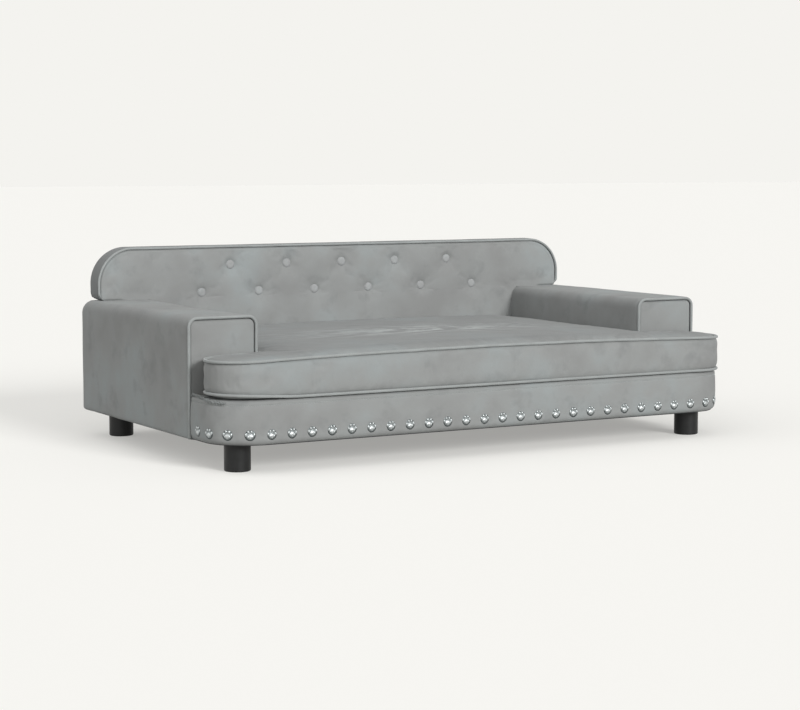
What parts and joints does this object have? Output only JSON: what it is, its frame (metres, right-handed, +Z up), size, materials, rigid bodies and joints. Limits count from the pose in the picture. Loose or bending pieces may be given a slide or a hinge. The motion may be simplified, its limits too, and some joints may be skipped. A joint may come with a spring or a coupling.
{
  "type": "dog sofa bed",
  "caption": "Upholstered sofa bed for a small dog: boxed arms, buttoned backrest, studded front rail, round feet and a loose T-shaped seat cushion.",
  "frame": {"origin": "on the floor under the middle of the sofa: the centre of the bounding box's bottom face", "axes": "+X across the sofa to the right as seen from the front, +Y from the front rail to the backrest, +Z up"},
  "size_m": [0.894, 0.53, 0.298],
  "materials": {
    "velvet": "light grey short-pile velvet",
    "velvet_piping": "light grey velvet piping",
    "foam": "open-cell foam",
    "plywood": "raw plywood",
    "pine": "sawn pine",
    "black_nonwoven": "non-woven cloth",
    "zip_tape": "woven grey tape",
    "black_plastic": "moulded, matt",
    "steel": "zinc-plated",
    "silver_stud": "bright nickel-plated"
  },
  "bodies": {
    "sofa": {"front_rail_board": "plywood", "cross_rail": "pine", "side_rail_left": "pine", "side_rail_right": "pine", "back_rail": "pine", "centre_rail": "pine", "foot_blocks": "pine", "seat_deck": "plywood", "deck_cloth": "black_nonwoven", "rail_padding": "foam", "rail_cover": "velvet", "rail_seam": "velvet_piping", "dust_cover": "black_nonwoven", "arm_front_board_left": "plywood", "arm_front_board_right": "plywood", "arm_rear_board_left": "plywood", "arm_rear_board_right": "plywood", "arm_outer_panel_left": "plywood", "arm_outer_panel_right": "plywood", "arm_inner_panel_left": "plywood", "arm_inner_panel_right": "plywood", "arm_top_board_left": "plywood", "arm_top_board_right": "plywood", "arm_padding_left": "foam", "arm_padding_right": "foam", "arm_cover_left": "velvet", "arm_cover_right": "velvet", "arm_front_panel_left": "velvet", "arm_front_panel_right": "velvet", "arm_piping_left": "velvet_piping", "arm_piping_right": "velvet_piping", "back_board": "plywood", "back_foam": "foam", "back_tufted_cover": "velvet", "back_side_band": "velvet", "back_rear_cover": "velvet", "back_piping": "velvet_piping", "buttons": "velvet", "button_nails": "steel", "paw_studs": "silver_stud", "foot_front_left": "black_plastic", "foot_front_right": "black_plastic", "foot_rear_left": "black_plastic", "foot_rear_right": "black_plastic", "foot_bolts": "steel", "foot_tee_nuts": "steel", "arm_bolts": "steel", "arm_tee_nuts": "steel", "deck_screws": "steel", "back_screws": "steel"},
    "cushion": {"cushion_core": "foam", "cushion_cover": "velvet", "cushion_piping_top": "velvet_piping", "cushion_piping_bottom": "velvet_piping", "zip_tape": "zip_tape"},
    "zip_slider": {"zip_slider": "steel"}
  },
  "joints": [
    {"name": "cushion_lift", "type": "slide", "parent": "sofa", "child": "cushion", "axis": [0, 0, 1], "range_m": [0, 0.25]},
    {"name": "zip_slide", "type": "slide", "parent": "cushion", "child": "zip_slider", "axis": [1, 0, 0], "range_m": [-0.48, 0]}
  ]
}
